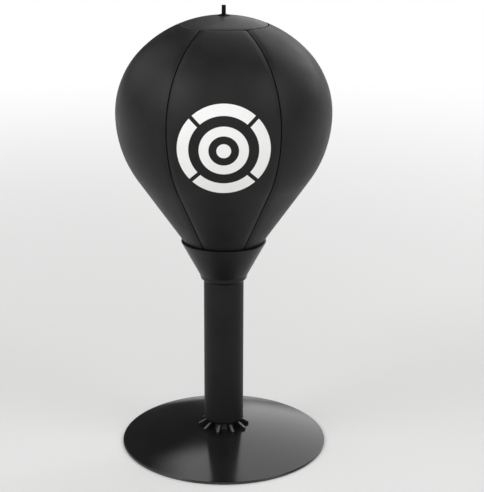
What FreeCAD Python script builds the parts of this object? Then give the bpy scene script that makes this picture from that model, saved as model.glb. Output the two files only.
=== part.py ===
import FreeCAD, Part
import math
import os

import Sketcher
from FreeCAD import Placement, Rotation, Vector

# Desktop punching ball: a leatherette ball in a funnel cup on a sprung, sleeved post,
# standing on a suction-cup foot. Millimetres, +Z up, the front faces -Y.
# The origin is the centre of the foot's underside, on the surface that it stands on.

DOC = FreeCAD.newDocument("punching_ball")

# Driving dimensions: alias, value, meaning. A height is above the surface.
DRIVING = (
    # Foot
    ("foot_radius", 95.2, "outer radius of the suction cup"),
    ("foot_edge", 2.4, "thickness of the rounded rim lip"),
    ("dome_curve", 416.0, "radius of curvature of the dome, over and under"),
    ("dome_top", 15.0, "height at which the dome meets the hub"),
    ("hub_radius", 13.0, "radius of the hub"),
    ("hub_top", 20.4, "height of the top of the hub"),
    ("cavity_top", 8.0, "height of the hollow under the middle"),
    ("cavity_flat", 16.0, "radius of the hollow's flat ceiling"),
    ("seal_width", 9.0, "width of the flat sealing ring at the rim"),
    ("hub_skin", 2.0, "soft skin under the stud's head"),
    ("rib_count", 10, "radial ribs round the hub"),
    ("rib_thickness", 2.4, "thickness of a rib"),
    ("rib_shoulder", 17.0, "radius at which a rib's top starts to slope"),
    ("rib_reach", 23.5, "radius of a rib's outer end"),
    ("rib_end_height", 16.5, "height of a rib's top at its outer end"),
    ("rib_turn", 4.0, "turn of the ribs about the post, in degrees"),
    # Fasteners
    ("thread_radius", 4.0, "radius of stud and bolt"),
    ("stud_head_radius", 10.0, "radius of the stud's head in the hub"),
    ("stud_head_thickness", 3.0, "thickness of the stud's head"),
    ("thread_spare", 2.0, "length of thread past each nut"),
    ("hexagon_flats", 13.0, "width across the flats of nuts and bolt head"),
    ("nut_thickness", 6.5, "thickness of a nut"),
    ("bolt_head", 5.3, "thickness of the bolt's head"),
    ("washer_radius", 8.0, "outer radius of a washer"),
    ("washer_thickness", 1.6, "thickness of a washer"),
    # Spring and its seats
    ("wire_radius", 2.2, "radius of the spring wire"),
    ("coil_radius", 10.8, "radius of the spring to the middle of its wire"),
    ("coil_pitch", 5.1, "rise of the spring in one turn"),
    ("flange_thickness", 4.5, "thickness of a spring seat's flange"),
    ("plug_length", 18.0, "length of a spring seat's plug"),
    ("plug_chamfer", 1.0, "chamfer at the end of a plug"),
    # Sleeve
    ("sleeve_radius", 18.2, "outer radius of the sleeve"),
    ("sleeve_wall", 4.2, "wall of the sleeve"),
    ("sleeve_rounding", 4.0, "rounding of the sleeve's lower edge"),
    # Cup
    ("cup_bottom", 159.7, "height of the cup's lower edge"),
    ("cup_lip_width", 0.5, "width of the cup's lower edge"),
    ("chamfer_radius", 21.0, "radius at the top of the cup's chamfer"),
    ("chamfer_top", 161.6, "height of the top of the cup's chamfer"),
    ("band_radius", 21.8, "radius at the top of the cup's band"),
    ("band_top", 165.0, "height of the band's top and of the floor's underside"),
    ("cup_floor", 3.0, "thickness of the cup's floor"),
    ("rim_wall", 1.93, "wall of the cup at its rim"),
    ("rim_top", 197.0, "height of the cup's rim"),
    ("rim_rounding", 0.9, "rounding of the rim's outer edge"),
    # Ball
    ("ball_radius", 95.2, "largest radius of the ball"),
    ("ball_widest", 313.7, "height at which the ball is widest"),
    ("crown_rise", 84.9, "rise of the crown above the widest place"),
    ("shoulder_curve", 77.3, "radius of curvature above the widest place"),
    ("flank_curve", 101.7, "radius of curvature below the widest place"),
    ("heel_radius", 16.0, "radius of the ball's lower end, on the cup's floor"),
    ("cap_radius", 39.0, "radius of the seam round the top panel"),
    ("gore_count", 6, "gores round the ball"),
    ("panel_thickness", 1.5, "thickness of the leatherette"),
    ("seam_gap", 0.5, "width of the sunk line at a seam"),
    ("bladder_wall", 0.8, "wall of the inflated bladder"),
    ("plate_thickness", 3.0, "thickness of the plate that holds the ball's lower end"),
    # Valve
    ("valve_hole", 4.0, "radius of the hole in the top panel"),
    ("grommet_radius", 5.5, "radius of the grommet's flange"),
    ("grommet_rise", 1.2, "thickness of the grommet's flange"),
    ("grommet_rounding", 0.5, "rounding of the flange's edge"),
    ("grommet_wall", 1.0, "wall of the grommet's barrel"),
    ("ring_thickness", 0.8, "thickness of the ring that clinches the grommet"),
    ("valve_depth", 9.0, "depth of the valve body below the crown"),
    ("valve_flare", 8.5, "radius of the valve body's foot"),
    ("stem_radius", 1.5, "radius of the valve stem"),
    ("stem_rise", 8.8, "rise of the stem above the crown"),
    ("stem_depth", 7.0, "depth of the stem below the crown"),
    # Clearances
    ("thread_fit", 0.05, "play round a thread"),
    ("slide_fit", 0.1, "play round a part that slides or plugs in"),
    ("soft_gap", 0.3, "gap beside a soft part"),
)


class Size:
    """A number of the model: its value, and the expression that gives it."""

    def __init__(self, value, text):
        self.value = float(value)
        self.text = text

    def __add__(self, other):
        other = as_size(other)
        return Size(self.value + other.value, f"({self.text} + {other.text})")

    def __sub__(self, other):
        other = as_size(other)
        return Size(self.value - other.value, f"({self.text} - {other.text})")

    def __mul__(self, other):
        other = as_size(other)
        return Size(self.value * other.value, f"({self.text} * {other.text})")

    def __truediv__(self, other):
        other = as_size(other)
        return Size(self.value / other.value, f"({self.text} / {other.text})")

    def root(self):
        """Square root."""
        return Size(math.sqrt(self.value), f"sqrt({self.text})")


def as_size(number):
    """A bare number as a size."""
    return number if isinstance(number, Size) else Size(number, repr(float(number)))


def make_sheet(name, rows):
    """A sheet with one row of alias, content and meaning for each size."""
    sheet = DOC.addObject("Spreadsheet::Sheet", name)
    for row, (alias, content, meaning) in enumerate(rows, start=1):
        sheet.set(f"A{row}", alias)
        sheet.set(f"B{row}", content)
        sheet.set(f"C{row}", meaning)
        sheet.setAlias(f"B{row}", alias)
    return sheet


class Sizes:
    """The driving dimensions, each as an attribute under its alias."""

    def __init__(self):
        self.sheet = make_sheet("Sizes", [(alias, str(value), note) for alias, value, note in DRIVING])
        for alias, value, _ in DRIVING:
            setattr(self, alias, Size(value, f"Sizes.{alias}"))


S = Sizes()
ZERO = as_size(0)


class Worked:
    """Sizes worked out from the driving ones, kept in a sheet of their own as formulas."""

    def __init__(self):
        self.rows = []

    def keep(self, alias, size, meaning):
        """Name a worked-out size, so that sketches can refer to it."""
        self.rows.append((alias, "=" + size.text, meaning, size.value))
        return Size(size.value, f"Worked.{alias}")

    def write(self):
        """Write the sheet, and test it against the values used to place sketches."""
        self.sheet = make_sheet("Worked", [row[:3] for row in self.rows])
        DOC.recompute()
        for alias, formula, _, value in self.rows:
            got = float(getattr(self.sheet, alias))
            assert abs(got - value) < 1e-6, (alias, formula, got, value)


W = Worked()

# Heights and radii shared by pieces that seat on each other
BORE = W.keep("bore", S.thread_radius + S.thread_fit, "radius of a hole for a thread")
SLEEVE_BORE = W.keep("sleeve_bore", S.sleeve_radius - S.sleeve_wall, "inner radius of the sleeve")
FLANGE_RADIUS = W.keep("flange_radius", SLEEVE_BORE - S.slide_fit, "radius of a spring seat's flange")
PLUG_RADIUS = W.keep("plug_radius", S.coil_radius - S.wire_radius - S.slide_fit, "radius of a plug")
SEAT_LENGTH = W.keep("seat_length", S.flange_thickness + S.plug_length, "length of a spring seat")
LOWER_SEAT_TOP = W.keep("lower_seat_top", S.hub_top + SEAT_LENGTH, "top of the lower seat")
LOWER_NUT = W.keep("lower_nut", LOWER_SEAT_TOP + S.washer_thickness, "underside of the lower nut")
STUD_TOP = W.keep("stud_top", LOWER_NUT + S.nut_thickness + S.thread_spare, "top of the stud")
UPPER_SEAT_BASE = W.keep("upper_seat_base", S.band_top - SEAT_LENGTH, "underside of the upper seat")
UPPER_WASHER = W.keep("upper_washer", UPPER_SEAT_BASE - S.washer_thickness, "underside of its washer")
UPPER_NUT = W.keep("upper_nut", UPPER_WASHER - S.nut_thickness, "underside of the upper nut")
BOLT_END = W.keep("bolt_end", UPPER_NUT - S.thread_spare, "lower end of the bolt")
STUD_HEAD = W.keep("stud_head", S.cavity_top + S.hub_skin, "underside of the stud's head")
FLOOR_TOP = W.keep("floor_top", S.band_top + S.cup_floor, "top of the cup's floor")
PLATE_BASE = W.keep("plate_base", FLOOR_TOP + S.panel_thickness, "underside of the holding plate")
PLATE_TOP = W.keep("plate_top", PLATE_BASE + S.plate_thickness, "top of the holding plate")
BLADDER_BASE = W.keep("bladder_base", PLATE_TOP + S.bolt_head + S.soft_gap, "underside of the bladder")
CROWN = W.keep("crown", S.ball_widest + S.crown_rise, "top of the ball on its axis")

# The ball's outline: a crown arc, a shoulder arc and a flank arc, each tangent to the next,
# and a straight cone from the flank to the heel, on the cup's floor
CROWN_CURVE = W.keep(
    "crown_curve",
    (S.ball_radius * S.ball_radius - S.ball_radius * S.shoulder_curve * 2 + S.crown_rise * S.crown_rise)
    / ((S.crown_rise - S.shoulder_curve) * 2),
    "radius of curvature of the crown",
)
CROWN_CENTRE = W.keep("crown_centre", CROWN - CROWN_CURVE, "height of the crown arc's centre")
SHOULDER_CENTRE = W.keep("shoulder_centre", S.ball_radius - S.shoulder_curve, "shoulder arc's centre")
FLANK_CENTRE = W.keep("flank_centre", S.ball_radius - S.flank_curve, "flank arc's centre")
HEEL_OUT = W.keep("heel_out", S.heel_radius - FLANK_CENTRE, "heel from the flank arc's centre, out")
HEEL_UP = W.keep("heel_up", FLOOR_TOP - S.ball_widest, "heel from the flank arc's centre, up")
HEEL_SQUARE = W.keep("heel_square", HEEL_OUT * HEEL_OUT + HEEL_UP * HEEL_UP, "that distance squared")
TANGENT = W.keep(
    "tangent", (HEEL_SQUARE - S.flank_curve * S.flank_curve).root(), "length of the cone down to the heel"
)
CONE_OUT = W.keep(
    "cone_out",
    (S.flank_curve * HEEL_OUT - TANGENT * HEEL_UP) / HEEL_SQUARE,
    "outward part of the cone's unit normal",
)
CONE_UP = W.keep(
    "cone_up",
    (S.flank_curve * HEEL_UP + TANGENT * HEEL_OUT) / HEEL_SQUARE,
    "upward part of the cone's unit normal",
)


class Line:
    """A straight edge of an outline."""


class Arc:
    """A round edge of an outline. Its centre is on the left of its way, or on the right."""

    def __init__(self, radius, left=True):
        self.radius = radius
        self.left = left


def arc_points(start, end, arc):
    """Centre of an arc, and its start and end angles counted the left-hand way."""
    (x0, y0), (x1, y1) = start, end
    chord = math.hypot(x1 - x0, y1 - y0)
    away = math.sqrt(max(arc.radius.value ** 2 - chord ** 2 / 4, 0.0))
    side = 1 if arc.left else -1
    centre_x = (x0 + x1) / 2 - side * away * (y1 - y0) / chord
    centre_y = (y0 + y1) / 2 + side * away * (x1 - x0) / chord
    angles = [math.atan2(y - centre_y, x - centre_x) for x, y in (start, end)]
    return (centre_x, centre_y), angles if arc.left else angles[::-1]


def draw_outline(sketch, steps):
    """Draw a closed outline: each step is a corner's two sizes and the edge that follows it.

    Every corner is tied to its sizes, and every arc to its radius.
    """
    corners = [(x.value, y.value) for x, y, _ in steps]
    count = len(steps)
    starts = []
    for index, (_, _, edge) in enumerate(steps):
        here, there = corners[index], corners[(index + 1) % count]
        if isinstance(edge, Arc):
            centre, (first, last) = arc_points(here, there, edge)
            if last < first:
                last += 2 * math.pi
            circle = Part.Circle(Vector(*centre, 0), Vector(0, 0, 1), edge.radius.value)
            sketch.addGeometry(Part.ArcOfCircle(circle, first, last))
            starts.append(1 if edge.left else 2)
        else:
            sketch.addGeometry(Part.LineSegment(Vector(*here, 0), Vector(*there, 0)))
            starts.append(1)
    for index in range(count):
        before = index - 1 if index else count - 1
        sketch.addConstraint(
            Sketcher.Constraint("Coincident", before, 3 - starts[before], index, starts[index])
        )
    for index, (x, y, edge) in enumerate(steps):
        for kind, size, axis in (("DistanceX", x, -2), ("DistanceY", y, -1)):
            if abs(size.value) < 1e-9:
                sketch.addConstraint(Sketcher.Constraint("PointOnObject", index, starts[index], axis))
                continue
            row = sketch.addConstraint(
                Sketcher.Constraint(kind, -1, 1, index, starts[index], size.value)
            )
            sketch.setExpression(f"Constraints[{row}]", size.text)
        if isinstance(edge, Arc):
            row = sketch.addConstraint(Sketcher.Constraint("Radius", index, edge.radius.value))
            sketch.setExpression(f"Constraints[{row}]", edge.radius.text)


def origin_feature(body, role):
    """One of a body's own origin planes or axes."""
    return next(item for item in body.Origin.OriginFeatures if item.Role == role)


def outline_body(label, steps):
    """A body with one upright sketch: across is the distance from the axis, up is the height."""
    body = DOC.addObject("PartDesign::Body", label)
    body.Label = label
    sketch = body.newObject("Sketcher::SketchObject", label + "_outline")
    sketch.AttachmentSupport = (origin_feature(body, "XZ_Plane"), [""])
    sketch.MapMode = "FlatFace"
    draw_outline(sketch, steps)
    return body, sketch


def turned(label, steps, angle=None):
    """A turned piece: its outline goes all the way round, or through an angle about its middle."""
    body, sketch = outline_body(label, steps)
    DOC.recompute()
    turn = body.newObject("PartDesign::Revolution", label + "_turn")
    turn.Profile = sketch
    turn.ReferenceAxis = (sketch, ["V_Axis"])
    turn.Angle = 360.0
    if angle is not None:
        turn.Midplane = True
        turn.setExpression("Angle", angle.text)
    sketch.Visibility = False
    return body


def stand(item, height):
    """Put a piece's own origin at a height on the axis."""
    item.setExpression("Placement.Base.z", height.text)


def cylinder(name, radius, height, base):
    """A plain cylinder on the axis."""
    item = DOC.addObject("Part::Cylinder", name)
    item.setExpression("Radius", radius.text)
    item.setExpression("Height", height.text)
    stand(item, base)
    return item


def hexagon(name, height, base):
    """A hexagonal prism on the axis."""
    item = DOC.addObject("Part::Prism", name)
    item.Polygon = 6
    item.setExpression("Circumradius", (S.hexagon_flats / as_size(3).root()).text)
    item.setExpression("Height", height.text)
    stand(item, base)
    return item


def ring(label, outer, hole, height, base):
    """A flat ring on the axis."""
    item = DOC.addObject("Part::Cut", label)
    item.Base = cylinder(label + "_disc", outer, height, base)
    item.Tool = cylinder(label + "_hole", hole, height, base)
    item.Label = label
    return item


def hexagon_nut(label, base):
    """A hexagonal nut on the axis."""
    item = DOC.addObject("Part::Cut", label)
    item.Base = hexagon(label + "_body", S.nut_thickness, base)
    item.Tool = cylinder(label + "_thread", BORE, S.nut_thickness, base)
    item.Label = label
    return item


def crown_height(radius, inset):
    """Height of the crown at a radius, on the surface that lies an inset inside the leatherette's."""
    curve = CROWN_CURVE - inset
    return CROWN_CENTRE + (curve * curve - radius * radius).root()


def cone_radius(height, inset):
    """Radius of the cone at a height, on the surface an inset inside the leatherette's."""
    start = FLANK_CENTRE + CONE_OUT * (S.flank_curve - inset)
    start_height = S.ball_widest + CONE_UP * (S.flank_curve - inset)
    return start - CONE_UP / CONE_OUT * (height - start_height)


# Radius of what lies inside the ball's heel
HEEL_INSIDE = cone_radius(FLOOR_TOP, S.panel_thickness) - S.soft_gap


def ball_surface(inset, top_radius, bottom):
    """Corners and arcs down the ball, from a radius on the crown to a height on the cone."""
    crown = CROWN_CURVE - inset
    share = crown / (CROWN_CURVE - S.shoulder_curve)
    flank = S.flank_curve - inset
    return [
        (top_radius, crown_height(top_radius, inset), Arc(crown, left=False)),
        (
            SHOULDER_CENTRE * share,
            CROWN_CENTRE + (S.ball_widest - CROWN_CENTRE) * share,
            Arc(S.shoulder_curve - inset, left=False),
        ),
        (S.ball_radius - inset, S.ball_widest, Arc(flank, left=False)),
        (FLANK_CENTRE + CONE_OUT * flank, S.ball_widest + CONE_UP * flank, Line()),
        (cone_radius(bottom, inset), bottom, Line()),
    ]


def back_up(corners):
    """The same corners and edges in the other direction."""
    edges = [edge for _, _, edge in corners[:-1]]
    turned_round = [Arc(edge.radius, not edge.left) if isinstance(edge, Arc) else edge for edge in edges]
    points = [(x, y) for x, y, _ in corners][::-1]
    return [(x, y, edge) for (x, y), edge in zip(points, turned_round[::-1] + [Line()])]


def make_suction_cup():
    """Soft foot: domed disc with a rounded rim, a hollow underside, a hub and radial ribs."""
    half_edge = S.foot_edge / 2
    body = turned("suction_cup", [
        (ZERO, S.cavity_top, Line()),
        (S.cavity_flat, S.cavity_top, Arc(S.dome_curve, left=False)),
        (S.foot_radius - S.seal_width, ZERO, Line()),
        (S.foot_radius - half_edge, ZERO, Arc(half_edge)),
        (S.foot_radius, half_edge, Arc(half_edge)),
        (S.foot_radius - half_edge, S.foot_edge, Arc(S.dome_curve)),
        (S.hub_radius, S.dome_top, Line()),
        (S.hub_radius, S.hub_top, Line()),
        (BORE, S.hub_top, Line()),
        (BORE, STUD_HEAD + S.stud_head_thickness, Line()),
        (S.stud_head_radius + S.thread_fit, STUD_HEAD + S.stud_head_thickness, Line()),
        (S.stud_head_radius + S.thread_fit, STUD_HEAD, Line()),
        (ZERO, STUD_HEAD, Line()),
    ])
    plain = body.Tip
    sketch = body.newObject("Sketcher::SketchObject", "rib_outline")
    sketch.AttachmentSupport = (origin_feature(body, "XZ_Plane"), [""])
    sketch.MapMode = "FlatFace"
    root = S.hub_radius - S.rib_thickness / 2
    below = S.cavity_top + S.hub_skin
    draw_outline(sketch, [
        (root, below, Line()),
        (S.rib_reach, below, Line()),
        (S.rib_reach, S.rib_end_height, Line()),
        (S.rib_shoulder, S.hub_top, Line()),
        (root, S.hub_top, Line()),
    ])
    DOC.recompute()
    rib = body.newObject("PartDesign::Pad", "rib")
    rib.Profile = sketch
    rib.Midplane = True
    rib.setExpression("Length", S.rib_thickness.text)
    DOC.recompute()
    pattern = body.newObject("PartDesign::PolarPattern", "ribs")
    pattern.Originals = [rib]
    pattern.Axis = (origin_feature(body, "Z_Axis"), [""])
    pattern.Angle = 360.0
    pattern.setExpression("Occurrences", S.rib_count.text)
    body.Tip = pattern
    sketch.Visibility = False
    DOC.recompute()
    assert body.Shape.Volume > plain.Shape.Volume + S.rib_count.value, "the ribs add nothing"
    body.Placement.Rotation = Rotation(Vector(0, 0, 1), S.rib_turn.value)
    return body


def make_anchor_stud():
    """Stud whose flat head lies in the hub."""
    return turned("anchor_stud", [
        (ZERO, STUD_HEAD, Line()),
        (S.stud_head_radius, STUD_HEAD, Line()),
        (S.stud_head_radius, STUD_HEAD + S.stud_head_thickness, Line()),
        (S.thread_radius, STUD_HEAD + S.stud_head_thickness, Line()),
        (S.thread_radius, STUD_TOP, Line()),
        (ZERO, STUD_TOP, Line()),
    ])


def seat_outline(flange_end, towards_plug):
    """Outline of a spring seat from its flange's outer face along its plug, up or down."""
    def along(distance):
        return flange_end + distance if towards_plug > 0 else flange_end - distance

    return [
        (BORE, flange_end, Line()),
        (FLANGE_RADIUS, flange_end, Line()),
        (FLANGE_RADIUS, along(S.flange_thickness), Line()),
        (PLUG_RADIUS, along(S.flange_thickness), Line()),
        (PLUG_RADIUS, along(SEAT_LENGTH - S.plug_chamfer), Line()),
        (PLUG_RADIUS - S.plug_chamfer, along(SEAT_LENGTH), Line()),
        (BORE, along(SEAT_LENGTH), Line()),
    ]


def make_lower_spring_seat():
    """Plug that stands on the hub and holds the spring's lower coils."""
    return turned("lower_spring_seat", seat_outline(S.hub_top, 1))


def make_upper_spring_seat():
    """Plug that hangs under the cup's floor and holds the spring's upper coils."""
    return turned("upper_spring_seat", seat_outline(S.band_top, -1))


def make_post_sleeve():
    """Smooth rubber sleeve from the ribs into the cup's socket."""
    foot = S.hub_top + S.slide_fit
    return turned("post_sleeve", [
        (SLEEVE_BORE, foot, Line()),
        (S.sleeve_radius - S.sleeve_rounding, foot, Arc(S.sleeve_rounding)),
        (S.sleeve_radius, foot + S.sleeve_rounding, Line()),
        (S.sleeve_radius, S.band_top - S.slide_fit, Line()),
        (SLEEVE_BORE, S.band_top - S.slide_fit, Line()),
    ])


def make_bag_cup():
    """Moulded funnel: socket for the sleeve, chamfer, short band, cone and rounded rim."""
    socket = S.sleeve_radius + S.slide_fit
    clear = ZERO - S.soft_gap
    mouth = cone_radius(S.rim_top, clear)
    rim = mouth + S.rim_wall
    return turned("bag_cup", [
        (BORE, S.band_top, Line()),
        (socket, S.band_top, Line()),
        (socket, S.cup_bottom, Line()),
        (socket + S.cup_lip_width, S.cup_bottom, Line()),
        (S.chamfer_radius, S.chamfer_top, Line()),
        (S.band_radius, S.band_top, Line()),
        (rim, S.rim_top - S.rim_rounding, Arc(S.rim_rounding)),
        (rim - S.rim_rounding, S.rim_top, Line()),
        (mouth, S.rim_top, Line()),
        (cone_radius(FLOOR_TOP, clear), FLOOR_TOP, Line()),
        (BORE, FLOOR_TOP, Line()),
    ])


def make_head_bolt():
    """Bolt from the holding plate down through the cup and the upper spring seat."""
    bolt = DOC.addObject("Part::Fuse", "head_bolt")
    bolt.Base = hexagon("head_bolt_head", S.bolt_head, PLATE_TOP)
    bolt.Tool = cylinder("head_bolt_shank", S.thread_radius, PLATE_TOP + S.bolt_head - BOLT_END, BOLT_END)
    bolt.Label = "head_bolt"
    return bolt


def make_bottom_panel():
    """Leatherette disc that closes the ball's lower end, on the cup's floor."""
    return ring("bottom_panel", HEEL_INSIDE, BORE, S.panel_thickness, FLOOR_TOP)


def make_gores():
    """Equal leatherette gores round the ball, the first of them at the front."""
    pitch = 360.0 / S.gore_count.value
    width = as_size(360) / S.gore_count - S.seam_gap / S.ball_radius * math.degrees(1)
    edge = S.cap_radius + S.seam_gap / 2
    bottom = FLOOR_TOP + S.slide_fit
    gores = []
    for index in range(int(S.gore_count.value)):
        outside = ball_surface(ZERO, edge, bottom)
        inside = ball_surface(S.panel_thickness, edge, bottom)
        gore = turned(f"panel_{index + 1}", outside + back_up(inside), width)
        gore.Placement.Rotation = Rotation(Vector(0, 0, 1), index * pitch - 90)
        gores.append(gore)
    return gores


def make_top_panel():
    """Round leatherette panel on the crown, with the valve's hole in the middle."""
    edge = S.cap_radius - S.seam_gap / 2
    under = S.panel_thickness
    return turned("top_panel", [
        (S.valve_hole, crown_height(S.valve_hole, under), Arc(CROWN_CURVE - under, left=False)),
        (edge, crown_height(edge, under), Line()),
        (edge, crown_height(edge, ZERO), Arc(CROWN_CURVE)),
        (S.valve_hole, crown_height(S.valve_hole, ZERO), Line()),
    ])


def make_bladder():
    """Inflated inner ball, open at the crown where the valve body is."""
    outer = S.panel_thickness + S.soft_gap
    inner = outer + S.bladder_wall
    neck = S.grommet_radius + S.soft_gap
    floor = BLADDER_BASE + S.bladder_wall
    return turned("bladder", [
        *ball_surface(outer, neck, BLADDER_BASE),
        (ZERO, BLADDER_BASE, Line()),
        (ZERO, floor, Line()),
        *back_up(ball_surface(inner, neck, floor)),
    ])


def make_bladder_valve():
    """Rubber valve body: a foot inside the bladder and a neck up through the grommet."""
    neck = S.valve_hole - S.slide_fit - S.grommet_wall - S.slide_fit
    hole = S.stem_radius + S.thread_fit
    foot = CROWN - S.valve_depth
    sole = crown_height(S.valve_flare, S.panel_thickness + S.soft_gap + S.bladder_wall) - S.slide_fit
    return turned("bladder_valve", [
        (ZERO, foot, Line()),
        (S.valve_flare, foot, Line()),
        (S.valve_flare, sole, Line()),
        (neck, sole, Line()),
        (neck, CROWN, Line()),
        (hole, CROWN, Line()),
        (hole, CROWN - S.stem_depth, Line()),
        (ZERO, CROWN - S.stem_depth, Line()),
    ])


def make_valve_grommet():
    """Eyelet on the crown: a rounded flange and a barrel through the top panel."""
    outer = S.valve_hole - S.slide_fit
    bore = outer - S.grommet_wall
    eye = S.stem_radius + S.slide_fit
    top = CROWN + S.grommet_rise
    return turned("valve_grommet", [
        (bore, crown_height(S.valve_hole, S.panel_thickness) - S.ring_thickness, Line()),
        (outer, crown_height(S.valve_hole, S.panel_thickness) - S.ring_thickness, Line()),
        (outer, CROWN, Line()),
        (S.grommet_radius, CROWN, Line()),
        (S.grommet_radius, top - S.grommet_rounding, Arc(S.grommet_rounding)),
        (S.grommet_radius - S.grommet_rounding, top, Line()),
        (eye, top, Line()),
        (eye, CROWN + S.slide_fit, Line()),
        (bore, CROWN + S.slide_fit, Line()),
    ])


def make_valve_stem():
    """Thin upright stem with a round end, plugged into the valve body."""
    top = CROWN + S.stem_rise
    return turned("valve_stem", [
        (ZERO, CROWN - S.stem_depth + S.slide_fit, Line()),
        (S.stem_radius, CROWN - S.stem_depth + S.slide_fit, Line()),
        (S.stem_radius, top - S.stem_radius, Arc(S.stem_radius)),
        (ZERO, top, Line()),
    ])


def biarc_edges(start, start_way, end, end_way):
    """Two arcs that join two points and keep to the ways given at them."""
    chord = end - start
    ways = start_way + end_way
    spread = 2 * (1 - start_way.dot(end_way))
    reach = (-chord.dot(ways) + math.sqrt(chord.dot(ways) ** 2 + spread * chord.dot(chord))) / spread
    middle = (start + start_way * reach + end - end_way * reach) * 0.5
    edges = []
    for point, way, far in ((start, start_way, middle), (end, end_way * -1, middle)):
        across = far - point
        inward = across - way * across.dot(way)
        radius = across.dot(across) / (2 * inward.Length)
        centre = point + inward.normalize() * radius
        bisector = (point - centre) + (far - centre)
        edges.append(Part.Arc(point, centre + bisector.normalize() * radius, far).toShape())
    return edges


def least_gap(path, thickness, apart):
    """Least gap of a tube to itself, measured on points that lie some length apart along it."""
    spacing = thickness / 4
    points = path.discretize(Distance=spacing)
    skip = int(apart / spacing)
    pairs = ((i, j) for i in range(len(points)) for j in range(i + skip, min(len(points), i + 4 * skip)))
    return min(points[i].distanceToPoint(points[j]) for i, j in pairs) - thickness


def make_coil_spring():
    """Steel spring between the two seats' flanges: one unbroken wire."""
    wire, coil, pitch = S.wire_radius.value, S.coil_radius.value, S.coil_pitch.value
    clear = S.slide_fit.value
    bottom = S.hub_top.value + S.flange_thickness.value + wire + clear
    top = S.band_top.value - S.flange_thickness.value - wire - clear
    half_turns = int((top - bottom) / pitch * 2)
    rise = (top - bottom) / half_turns

    def place(step):
        angle = math.pi * step
        return Vector(coil * math.cos(angle), coil * math.sin(angle), bottom + rise * step)

    def way(step):
        angle = math.pi * step
        return Vector(-coil * math.sin(angle), coil * math.cos(angle), rise / math.pi).normalize()

    edges = []
    for step in range(half_turns):
        edges += biarc_edges(place(step), way(step), place(step + 1), way(step + 1))
    path = Part.Wire(Part.sortEdges(edges)[0])
    section = Part.Wire(Part.Circle(place(0), way(0), wire).toShape())
    gap = least_gap(path, 2 * wire, math.pi * coil)
    spring = DOC.addObject("Part::Feature", "coil_spring")
    spring.Shape = path.makePipeShell([section], True, False)
    spring.Placement = Placement()
    spring.Label = "coil_spring"
    expected = path.Length * math.pi * wire ** 2
    print(f"coil_spring: {half_turns / 2} turns, least gap {gap:.2f} mm,"
          f" volume {spring.Shape.Volume:.0f} of {expected:.0f} mm3")
    return spring


def make_parts():
    """Every sub-part, from the foot up."""
    parts = [
        make_suction_cup(),
        make_anchor_stud(),
        make_lower_spring_seat(),
        ring("base_washer", S.washer_radius, BORE, S.washer_thickness, LOWER_SEAT_TOP),
        hexagon_nut("base_nut", LOWER_NUT),
        make_coil_spring(),
        make_post_sleeve(),
        make_upper_spring_seat(),
        ring("head_washer", S.washer_radius, BORE, S.washer_thickness, UPPER_WASHER),
        hexagon_nut("head_nut", UPPER_NUT),
        make_bag_cup(),
        make_head_bolt(),
        ring("anchor_plate", HEEL_INSIDE, BORE, S.plate_thickness, PLATE_BASE),
        make_bottom_panel(),
        *make_gores(),
        make_top_panel(),
        make_bladder(),
        make_bladder_valve(),
        make_valve_grommet(),
        ring(
            "grommet_ring",
            S.grommet_radius,
            S.valve_hole,
            S.ring_thickness,
            crown_height(S.grommet_radius, S.panel_thickness) - S.ring_thickness,
        ),
        make_valve_stem(),
    ]
    DOC.recompute()
    return parts


def check_and_write(parts):
    """Test every object and sub-part, then write one file for each sub-part."""
    for item in DOC.Objects:
        assert not {"Invalid", "Error"} & set(item.State), (item.Name, item.State)
    os.makedirs("parts", exist_ok=True)
    for part in parts:
        shape = part.Shape
        assert not shape.isNull() and shape.isValid() and shape.Solids, part.Label
    for part in parts:
        part.Shape.exportStep(f"parts/{part.Label}.step")
        box = part.Shape.BoundBox
        print(f"{part.Label}: {part.Shape.Volume / 1000:.2f} cm3, z {box.ZMin:.2f} to {box.ZMax:.2f}")


W.write()
check_and_write(make_parts())
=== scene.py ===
"""Looks of a desktop punching ball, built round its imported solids.

A leatherette ball sits in a funnel cup on a sprung, sleeved post, on a suction-cup foot.
Metres, +Z up, the front faces -Y. The origin is the centre of the foot's underside.
Outlines are written in millimetres, as (distance from the axis, height) pairs.
"""

import logging
import math
from collections.abc import Callable, Mapping, Sequence
from dataclasses import dataclass, field
from enum import Enum
from itertools import pairwise

import bpy
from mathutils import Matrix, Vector


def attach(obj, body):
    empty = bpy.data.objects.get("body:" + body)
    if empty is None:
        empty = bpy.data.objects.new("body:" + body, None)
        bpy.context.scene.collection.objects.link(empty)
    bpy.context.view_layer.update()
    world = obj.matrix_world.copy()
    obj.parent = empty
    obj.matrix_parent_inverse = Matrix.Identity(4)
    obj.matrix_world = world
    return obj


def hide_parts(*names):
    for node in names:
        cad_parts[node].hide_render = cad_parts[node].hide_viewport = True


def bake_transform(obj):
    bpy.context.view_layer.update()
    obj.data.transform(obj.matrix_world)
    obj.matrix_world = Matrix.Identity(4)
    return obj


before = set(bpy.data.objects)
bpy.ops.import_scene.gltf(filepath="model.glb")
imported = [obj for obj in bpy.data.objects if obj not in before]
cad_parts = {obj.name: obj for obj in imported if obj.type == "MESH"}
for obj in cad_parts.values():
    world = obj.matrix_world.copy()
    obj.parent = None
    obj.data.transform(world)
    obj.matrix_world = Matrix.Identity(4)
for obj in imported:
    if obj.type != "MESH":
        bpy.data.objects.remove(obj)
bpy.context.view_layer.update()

LOG = logging.getLogger("punching_ball")
MM = 0.001
FULL_TURN = 2 * math.pi
QUARTER_TURN = math.pi / 2

# Vertices nearer than this become one, and a vertex this near to a plane is on it, in metres.
MERGED = 2e-6
ON_PLANE = 1e-6
# Points of an outline nearer than this are one, in millimetres.
SAME_POINT = 1e-4

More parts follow.
